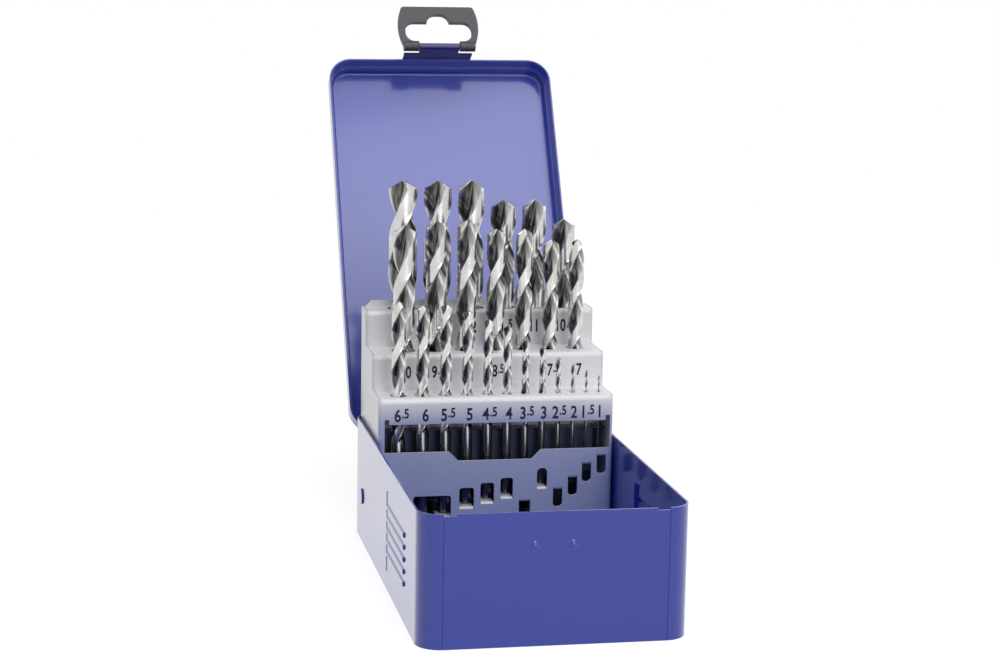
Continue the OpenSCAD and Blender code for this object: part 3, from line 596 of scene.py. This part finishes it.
@dataclass
class BitShape:
    """A twist bit, standing on its shank with its point up.

    Attributes:
        diameter: Diameter of the bit.
        length: Its whole length.
        flute_length: Length of its flutes, with the point.
        point_angle: Angle of the point's cone.
        lead_ratio: Length of one full twist, in diameters.
        land_angle: Width of a land round the section.
        margin_angle: Width of the land's margin, which has the full radius.
        land_share: Radius behind the margin, as a share of the full radius.
        web_share: Radius at a flute's bottom, as a share of the full radius.
        flute_skew: Power that moves a flute's bottom off its middle.
        flute_power: Power that shapes a flute's walls.
        relief: How fast the point falls away behind its cutting edges.
        point_rings: Sizes of the sections inside the point.
        end_chamfer: Chamfer of the shank's end, in diameters.
        run_out: Length in which a flute gets its full depth, in diameters.
        run_out_power: Power that shapes that length.
        ring_turn: Most twist from one section to the next.
        points_large: Points round a section.
        points_small: Points round a small bit's section.
        small_up_to: Largest diameter of a small bit.
        smooth_angle: Edges that turn by less than this are shaded smooth.
        shank_shade: Painted shade and painted dark reflection on the shank, from 0 to 1.
        shade_edge: Share of a flute at each side that takes no painted shade.
        shade_fall: How much paler a flute's painted shade is at its far side.
        sweep_round: The marks' scale round the section.
        sweep_length: Length of one unit of the marks' pattern.
    """

    # Mesh layer of the painted shade in the flutes and on the shank.
    FLUTE_SHADE_LAYER = "flute_painted_shade"
    SWEEP = "flute_sweep"

    diameter: float
    length: float
    flute_length: float
    point_angle: float = 118.0
    lead_ratio: float = 5.8
    land_angle: float = 70.0
    margin_angle: float = 9.0
    land_share: float = 0.965
    web_share: float = 0.2
    flute_skew: float = 0.8
    flute_power: float = 2.3
    relief: float = 0.16
    point_rings: tuple[float, ...] = (0.72, 0.45, 0.2)
    end_chamfer: float = 0.06
    run_out: float = 1.2
    run_out_power: float = 0.6
    ring_turn: float = 11.0
    points_large: int = 48
    points_small: int = 32
    small_up_to: float = 3.0
    smooth_angle: float = 32.0
    shank_shade: float = 0.8
    shade_edge: float = 0.03
    shade_fall: float = 0.6
    sweep_round: float = 4.0
    sweep_length: float = 60.0

    @property
    def radius(self) -> float:
        """The bit's radius."""
        return self.diameter / 2

    @property
    def points(self) -> int:
        """Number of points round a section."""
        return self.points_large if self.diameter > self.small_up_to else self.points_small

    @property
    def lead(self) -> float:
        """Length of one full twist."""
        return self.lead_ratio * self.diameter

    def across(self, turn: float) -> float:
        """Returns how far across a flute an angle past a land's heel lies, from 0 to 1."""
        return (turn - self.land_angle) / (180 - self.land_angle)

    def share(self, angle: float) -> float:
        """Radius of the fluted section as a share of the full radius.

        Args:
            angle: Angle round the section in degrees, from a land's heel.

        Returns:
            The share.
        """
        turn = angle % 180
        if turn < self.land_angle - self.margin_angle:
            return self.land_share
        if turn < self.land_angle:
            return 1.0
        dip = abs(2 * self.across(turn) ** self.flute_skew - 1) ** self.flute_power
        return self.web_share + (self.land_share - self.web_share) * dip

    def shade(self, turn: float) -> float:
        """Returns how much painted shade the flute takes at an angle past a land's heel."""
        across = self.across(turn)
        if not self.shade_edge < across < 1 - self.shade_edge:
            return 0.0
        return 1.0 - self.shade_fall * across**3

    def build(self, name: str, foot: Vector) -> bpy.types.Object:
        """Sweeps the section up the bit.

        Args:
            name: Name of the bit's node.
            foot: Middle of the shank's lower end, in metres.

        Returns:
            The new piece.
        """
        bm = bmesh.new()
        layers = BitLayers(
            bm.verts.layers.int.new("key"),
            bm.verts.layers.float.new(self.FLUTE_SHADE_LAYER),
            bm.verts.layers.float_vector.new(self.SWEEP),
        )
        chamfer = self.end_chamfer * self.diameter
        bmesh.ops.create_circle(bm, segments=self.points, radius=self.radius - chamfer)
        for index, vert in enumerate(bm.verts):
            vert[layers.key] = index
        bmesh.ops.contextual_create(bm, geom=bm.edges[:])
        edges = bm.edges[:]
        for height, depth in self._heights(chamfer):
            edges = self._next_ring(bm, edges, height, depth, 1.0, layers)
        for scale in self.point_rings:
            edges = self._next_ring(bm, edges, self.length, 1.0, scale, layers)
        tip = sorted({v for e in edges for v in e.verts}, key=lambda v: v[layers.key])
        bmesh.ops.pointmerge(bm, verts=tip, merge_co=(0, 0, self.length))
        bmesh.ops.recalc_face_normals(bm, faces=bm.faces)
        self._settle_order(bm)
        place = Matrix.Translation(foot) @ Matrix.Scale(MM, 4)
        bmesh.ops.transform(bm, matrix=place, verts=bm.verts)
        piece = new_piece(bm, f"ground_{name}", BIT_STEEL, name)
        smooth_by_angle(piece, self.smooth_angle)
        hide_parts(name)
        return piece

    @staticmethod
    def _settle_order(bm: bmesh.types.BMesh) -> None:
        """Puts the faces in an order that is the same in each run.

        Args:
            bm: The mesh. The operators leave its faces in no fixed order.
        """
        ranked = sorted(bm.faces, key=lambda face: tuple(face.calc_center_median()))
        for index, face in enumerate(ranked):
            face.index = index
        bm.faces.sort()

    def _heights(self, chamfer: float) -> list[tuple[float, float]]:
        """Lists the sections up to the point.

        Args:
            chamfer: Height of the chamfer at the shank's end.

        Returns:
            Each section's height and the depth of its flutes, from 0 to 1.
        """
        start = self.length - self.flute_length
        run_out = self.run_out * self.diameter
        steps = math.ceil((self.length - start) / self.lead * 360 / self.ring_turn)
        rows = [(chamfer, 0.0), (start / 2, 0.0), (start, 0.0)]
        for step in range(1, steps + 1):
            height = start + (self.length - start) * step / steps
            rows.append((height, min(1.0, (height - start) / run_out) ** self.run_out_power))
        return rows

    def _next_ring(
        self,
        bm: bmesh.types.BMesh,
        edges: list[bmesh.types.BMEdge],
        height: float,
        depth: float,
        scale: float,
        layers: BitLayers,
    ) -> list[bmesh.types.BMEdge]:
        """Extrudes one more section and gives it its place.

        Args:
            bm: The mesh.
            edges: Edges of the last section.
            height: Height of the new section.
            depth: Depth of its flutes, from 0 to 1.
            scale: Size of the section, below 1 only inside the point.
            layers: The mesh's layers.

        Returns:
            The new section's edges.
        """
        made = bmesh.ops.extrude_edge_only(bm, edges=edges)["geom"]
        for vert in (g for g in made if isinstance(g, bmesh.types.BMVert)):
            around = 360 * vert[layers.key] / self.points
            turn = around % 180
            share = 1 + (self.share(around) - 1) * depth
            reach = self.radius * share * scale
            lift = self._lift(height, turn, reach)
            above = max(0.0, lift - (self.length - self.flute_length))
            angle = math.radians(around + 360 * above / self.lead)
            vert.co = (reach * math.cos(angle), reach * math.sin(angle), lift)
            # Painted shade: deep in the flutes, paler at their far side, and a painted shade
            # and dark reflection on the shank.
            flute = self.shade(turn) * min(1.0, 2 * depth)
            vert[layers.mask] = max(flute, self.shank_shade * (1 - depth) ** 2)
            sweep = (self.sweep_round * around / 360, lift / self.sweep_length, share)
            vert[layers.sweep] = sweep
        return [g for g in made if isinstance(g, bmesh.types.BMEdge)]

    def _lift(self, height: float, turn: float, reach: float) -> float:
        """Keeps a vertex below the point's cone.

        Args:
            height: Height of its section.
            turn: Its angle past a land's heel.
            reach: Its distance from the bit's axis.

        Returns:
            The vertex's height.
        """
        slope = 1 / math.tan(math.radians(self.point_angle / 2))
        lift = height
        if height >= self.length - TINY:
            behind = max(0.0, self.land_angle - turn)
            lift = self.length - reach * (slope + self.relief * math.radians(behind))
        return min(lift, self.length - reach * slope)


@dataclass
class BitSet:
    """The case's twist bits.

    Attributes:
        flute_lengths: The standard flute length of each size.
    """

    flute_lengths: dict[float, float] = field(
        default_factory=lambda: {
            1: 12, 1.5: 18, 2: 24, 2.5: 30, 3: 33, 3.5: 39, 4: 43, 4.5: 47, 5: 52, 5.5: 57,
            6: 57, 6.5: 63, 7: 69, 7.5: 69, 8: 75, 8.5: 75, 9: 81, 9.5: 81, 10: 87, 10.5: 87,
            11: 94, 11.5: 94, 12: 101, 12.5: 101, 13: 101,
        }
    )

    @staticmethod
    def node_name(size: float) -> str:
        """Returns the node of the bit of that size."""
        return f"bit_{size:g}".replace(".", "_")

    @staticmethod
    def foot(size: float) -> Vector:
        """Returns the middle of the lower end of the bit of that size."""
        low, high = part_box(BitSet.node_name(size))
        return Vector(((low.x + high.x) / 2, (low.y + high.y) / 2, low.z))

    def build(self) -> None:
        """Makes every bit."""
        for size, flute in self.flute_lengths.items():
            node = self.node_name(size)
            low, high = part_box(node)
            shape = BitShape(size, (high.z - low.z) / MM, flute)
            shape.build(node, self.foot(size))


# ---- Printed sizes ----


@dataclass(frozen=True)
class MarkRow:
    """Sizes printed along one sheet of the rack.

    Attributes:
        name: Name of the printed piece.
        sheet: Node of the sheet.
        sizes: The sizes, from left to right.
        height: Height of a figure.
        drop: Height of the row's middle over the foot of the sheet's lip.
        pace: Spacing of the sizes, as a share of the bits' own.
        shift: How far the row stands to the right.
        squeeze: Width of a figure, as a share of the font's own.
    """

    name: str
    sheet: str
    sizes: tuple[float, ...]
    height: float
    drop: float
    pace: float
    shift: float
    squeeze: float


@dataclass
class SizeMarks:
    """Sizes printed on the rack's front strip and on its two risers.

    Attributes:
        lip: Height of a sheet's lip.
        lift: How far the ink stands off its sheet.
        small_share: Height of the figures of a half, as a share of the size's.
        figure_share: Width of a figure, as a share of its height.
        half_share: Width of a half, as a share of its height.
        half_rise: How far a half's top stands over the size's.
        cap_share: Height of a figure, as a share of the font's size.
        curve_steps: Steps in each of the font's curves.
        boldness: How far outlines are pushed out, as a share of the font's size.
        rows: The printed rows.
    """

    lip: float = 2.7
    lift: float = 0.04
    small_share: float = 0.78
    figure_share: float = 0.78
    half_share: float = 1.1
    half_rise: float = 0.3
    cap_share: float = 0.7
    curve_steps: int = 6
    boldness: float = 0.026
    rows: tuple[MarkRow, ...] = (
        MarkRow(
            "front_marks", "rack_front_sheet", (6.5, 6, 5.5, 5, 4.5, 4, 3.5, 3, 2.5, 2, 1.5, 1),
            height=5.3, drop=-7.15, pace=0.98, shift=-0.3, squeeze=0.78,
        ),
        MarkRow(
            "middle_marks", "rack_middle_sheet", (10, 9.5, 9, 8.5, 8, 7.5, 7),
            height=5.2, drop=-7.6, pace=1.0, shift=-0.5, squeeze=0.66,
        ),
        MarkRow(
            "back_marks", "rack_back_sheet", (13, 12.5, 12, 11.5, 11, 10.5),
            height=5.4, drop=-7.4, pace=1.0, shift=-0.5, squeeze=0.66,
        ),
    )

    def build(self) -> None:
        """Prints every row."""
        for row in self.rows:
            low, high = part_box(row.sheet)
            y = low.y / MM - self.lift
            z = high.z / MM - self.lip + row.drop
            bm = bmesh.new()
            for size in row.sizes:
                x = row.pace * BitSet.foot(size).x / MM + row.shift
                self._number(bm, row, size, Vector((x, y, z)))
            new_piece(bm, row.name, MARK_INK, Body.RACK.value)

    def _number(self, bm: bmesh.types.BMesh, row: MarkRow, size: float, middle: Vector) -> None:
        """Adds one size, with its half as a smaller raised figure.

        Args:
            bm: Mesh that takes the figures.
            row: The row that it is in.
            size: The size.
            middle: Middle of the number.
        """
        whole = f"{int(size)}"
        figure_w = row.height * self.figure_share * row.squeeze
        small = row.height * self.small_share
        half = size != int(size)
        half_w = self.half_share * small * row.squeeze if half else 0
        width = len(whole) * figure_w + half_w
        corner = middle - Vector((width / 2, 0, row.height / 2))
        self._figures(bm, whole, row.height, row.squeeze, corner)
        if half:
            corner += Vector((len(whole) * figure_w, 0, row.height - small + self.half_rise))
            self._figures(bm, ".5", small, row.squeeze, corner)

    def _figures(
        self, bm: bmesh.types.BMesh, text: str, height: float, squeeze: float, corner: Vector
    ) -> None:
        """Adds a line of figures on the plane that faces the front.

        Args:
            bm: Mesh that takes the figures.
            text: The figures.
            height: Height of a figure.
            squeeze: Its width, as a share of the font's own.
            corner: Lower left corner of the line.
        """
        curve = bpy.data.curves.new("figures", "FONT")
        curve.body = text
        curve.size = height / self.cap_share
        curve.offset = self.boldness * curve.size
        curve.resolution_u = self.curve_steps
        carrier = bpy.data.objects.new("figures", curve)
        bpy.context.scene.collection.objects.link(carrier)
        bpy.context.view_layer.update()
        evaluated = carrier.evaluated_get(bpy.context.evaluated_depsgraph_get())
        flat = bpy.data.meshes.new_from_object(evaluated)
        place = (
            Matrix.Scale(MM, 4)
            @ Matrix.Translation(corner)
            @ Matrix.Rotation(math.radians(90), 4, "X")
            @ Matrix.Diagonal((squeeze, 1, 1, 1))
        )
        flat.transform(place)
        bm.from_mesh(flat)
        bpy.data.objects.remove(carrier)
        bpy.data.curves.remove(curve)
        bpy.data.meshes.remove(flat)


# ---- Case and rack ----


@dataclass
class SheetWork:
    """The sheets, the pins and the hanger clip of the case and the rack.

    Attributes:
        sheets: The nodes that get rounded edges.
        plain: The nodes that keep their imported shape, each with its finish.
    """

    sheets: tuple[SoftenedSheet, ...] = (
        SoftenedSheet("base_pan", Body.BASE, CASE_PAINT),
        SoftenedSheet("side_wall_left", Body.BASE, CASE_PAINT),
        SoftenedSheet("side_wall_right", Body.BASE, CASE_PAINT),
        SoftenedSheet("lid_shell", Body.LID, CASE_PAINT),
        SoftenedSheet("latch_tab", Body.LID, TAB_PAINT),
        # The front sheet's front faces and lower part carry painted shade.
        SoftenedSheet("rack_front_sheet", Body.RACK, FRONT_PAINTED_SHADE, unshaded_finish=RACK_PAINT),
        SoftenedSheet("rack_side_left", Body.RACK, RACK_PAINT),
        SoftenedSheet("rack_side_right", Body.RACK, RACK_PAINT),
        SoftenedSheet("rack_middle_sheet", Body.RACK, RACK_PAINT),
        SoftenedSheet("rack_back_sheet", Body.RACK, RACK_PAINT),
        # The guide plate, shelf and rests take a dark painted shade.
        SoftenedSheet("rack_guide_plate", Body.RACK, GUIDE_PAINTED_SHADE, edge=0.3),
        SoftenedSheet("rack_shelf", Body.RACK, REST_PAINTED_SHADE),
        SoftenedSheet("rack_rest_steps", Body.RACK, REST_PAINTED_SHADE),
        SoftenedSheet("hinge_base_leaf", Body.BASE, HINGE_PAINT, edge=0.12),
        SoftenedSheet("hinge_lid_leaf", Body.LID, HINGE_PAINT, edge=0.12),
        SoftenedSheet("rack_stop_studs", Body.BASE, CASE_PAINT, edge=0.25),
        SoftenedSheet("hanger_clip", Body.HANGER, CLIP_PLASTIC, edge=0.45),
    )
    plain: tuple[tuple[str, Finish], ...] = (
        ("hinge_pin", PIN_STEEL),
        ("rack_pivot_pins", PIN_STEEL),
    )

    def build(self, frame: dict) -> None:
        """Dresses every sheet.
        """
        for sheet in self.sheets:
            sheet.build(frame)
        for node, finish in self.plain:
            mesh = frame["nodes"][node].data
            mesh.materials.clear()
            mesh.materials.append(finish.material())
            LOG.info("%s: packed shape, %s", node, finish.name)


# ---- Studio ----


@dataclass(frozen=True)
class SoftLamp:
    """Square soft lamp that faces a point. Its lengths are in metres.

    Attributes:
        name: The lamp's name.
        place: Its middle.
        target: The point that it faces.
        size: Its side.
        power: Its power, in watts.
    """

    name: str
    place: Place
    target: Place
    size: float
    power: float

    def build(self) -> None:
        """Adds the lamp."""
        data = bpy.data.lights.new(self.name, "AREA")
        data.size = self.size
        data.energy = self.power
        lamp = bpy.data.objects.new(self.name, data)
        lamp.location = self.place
        ahead = Vector(self.target) - Vector(self.place)
        lamp.rotation_euler = ahead.to_track_quat("-Z", "Y").to_euler()
        bpy.context.scene.collection.objects.link(lamp)


@dataclass
class Studio:
    """White floor and surround, soft lamps, and the camera.

    Attributes:
        camera_place: The camera's place.
        focal_pixels: Its focal length, in pixels of the picture.
        picture_width: Width of the picture, in pixels.
        sensor: Width of the camera's sensor.
        clip_start: Least distance that the camera sees, in metres.
        yaw: How far the camera turns to the right.
        pitch: How far it looks down.
        roll: How far it turns about its own axis.
        ambient: Strength of the surround's light on the case.
        floor_radius: Radius of the floor, in metres.
        floor_drop: How far the floor lies below the case, in metres.
        floor_segments: Sides of the floor's outline.
        floor_grey: The floor's shade under the lamps.
        floor_roughness: Roughness of the floor.
        floor_glow: Strength of the white that the floor shows besides.
        lamps: The soft lamps.
    """

    camera_place: Place = (-186.6, -908.7, 268.5)
    focal_pixels: float = 2244.4
    picture_width: float = 1000.0
    sensor: float = 36.0
    clip_start: float = 0.01
    yaw: float = 11.271
    pitch: float = 9.919
    roll: float = 1.023
    ambient: float = 0.25
    floor_radius: float = 1.3
    floor_drop: float = 0.0002
    floor_segments: int = 64
    floor_grey: float = 0.5
    floor_roughness: float = 0.9
    floor_glow: float = 0.8
    lamps: tuple[SoftLamp, ...] = (
        SoftLamp("top_box", (0.0, -0.25, 1.5), (0, 0.05, 0.08), size=1.2, power=8.2),
        SoftLamp("left_box", (-1.5, -0.5, 0.7), (0, 0.05, 0.08), size=0.8, power=1.0),
        SoftLamp("lid_box", (0.3, -0.95, 1.35), (0, 0.15, 0.15), size=0.6, power=4.1),
        SoftLamp("front_box", (0.45, -1.6, 0.5), (0, 0.05, 0.08), size=0.9, power=6.5),
    )

    def build(self) -> None:
        """Sets the studio up."""
        self._camera()
        self._world()
        self._floor()
        for lamp in self.lamps:
            lamp.build()
        bpy.context.scene.view_settings.view_transform = "Standard"

    def _camera(self) -> None:
        """Adds the camera at the photograph's place and angle."""
        data = bpy.data.cameras.new("studio_camera")
        data.sensor_width = self.sensor
        data.lens = self.focal_pixels / self.picture_width * self.sensor
        data.clip_start = self.clip_start
        camera = bpy.data.objects.new("studio_camera", data)
        yaw, pitch, roll = (math.radians(a) for a in (self.yaw, self.pitch, self.roll))
        level = math.cos(pitch)
        ahead = Vector((math.sin(yaw) * level, math.cos(yaw) * level, -math.sin(pitch)))
        right = Vector((math.cos(yaw), -math.sin(yaw), 0))
        up = right.cross(ahead)
        turned_right = math.cos(roll) * right + math.sin(roll) * up
        turned_up = -math.sin(roll) * right + math.cos(roll) * up
        axes = Matrix((turned_right, turned_up, -ahead)).transposed().to_4x4()
        camera.matrix_world = Matrix.Translation(Vector(self.camera_place) * MM) @ axes
        bpy.context.scene.collection.objects.link(camera)
        bpy.context.scene.camera = camera

    def _world(self) -> None:
        """Makes the surround white to look at and plain to light with."""
        world = bpy.data.worlds.new("studio_world")
        world.use_nodes = True
        bpy.context.scene.world = world
        tree = world.node_tree
        tree.nodes.clear()
        seen = self._seen_or_reflected(tree)
        level = tree.nodes.new("ShaderNodeMapRange")
        level.inputs["To Min"].default_value = self.ambient
        level.inputs["To Max"].default_value = 1.0
        tree.links.new(seen, level.inputs["Value"])
        background = tree.nodes.new("ShaderNodeBackground")
        background.inputs["Color"].default_value = (1, 1, 1, 1)
        tree.links.new(level.outputs["Result"], background.inputs["Strength"])
        output = tree.nodes.new("ShaderNodeOutputWorld")
        tree.links.new(background.outputs[0], output.inputs["Surface"])

    @staticmethod
    def _seen_or_reflected(tree: bpy.types.NodeTree) -> bpy.types.NodeSocket:
        """Adds a test for rays from the camera, a gloss or a clear surface.

        Args:
            tree: The node tree.

        Returns:
            A socket that is 1 for such a ray.
        """
        path = tree.nodes.new("ShaderNodeLightPath")
        both = tree.nodes.new("ShaderNodeMath")
        both.operation = "MAXIMUM"
        tree.links.new(path.outputs["Is Camera Ray"], both.inputs[0])
        tree.links.new(path.outputs["Is Glossy Ray"], both.inputs[1])
        three = tree.nodes.new("ShaderNodeMath")
        three.operation = "MAXIMUM"
        tree.links.new(both.outputs[0], three.inputs[0])
        tree.links.new(path.outputs["Is Transmission Ray"], three.inputs[1])
        return three.outputs[0]

    def _floor(self) -> None:
        """Adds a white floor that keeps a soft shadow."""
        bm = bmesh.new()
        bmesh.ops.create_circle(
            bm, cap_ends=True, segments=self.floor_segments, radius=self.floor_radius
        )
        bmesh.ops.translate(bm, verts=bm.verts, vec=(0, 0, -self.floor_drop))
        mesh = bpy.data.meshes.new("studio_floor")
        bm.to_mesh(mesh)
        bm.free()
        floor = bpy.data.objects.new("studio_floor", mesh)
        bpy.context.scene.collection.objects.link(floor)
        made = bpy.data.materials.new("studio_floor")
        made.use_nodes = True
        tree = made.node_tree
        shader = tree.nodes["Principled BSDF"]
        grey = self.floor_grey
        shader.inputs["Base Color"].default_value = (grey, grey, grey, 1)
        shader.inputs["Roughness"].default_value = self.floor_roughness
        shader.inputs["Specular IOR Level"].default_value = 0.0
        shader.inputs["Emission Color"].default_value = (1, 1, 1, 1)
        glow = tree.nodes.new("ShaderNodeMath")
        glow.operation = "MULTIPLY"
        glow.inputs[1].default_value = self.floor_glow
        tree.links.new(self._seen_or_reflected(tree), glow.inputs[0])
        tree.links.new(glow.outputs[0], shader.inputs["Emission Strength"])
        mesh.materials.append(made)


def main() -> None:
    """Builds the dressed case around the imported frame."""
    logging.basicConfig(level=logging.INFO, format="%(name)s: %(message)s")
    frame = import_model()
    Studio().build()
    SheetWork().build(frame)
    BitSet().build()
    SizeMarks().build()


if __name__ == "__main__":
    main()
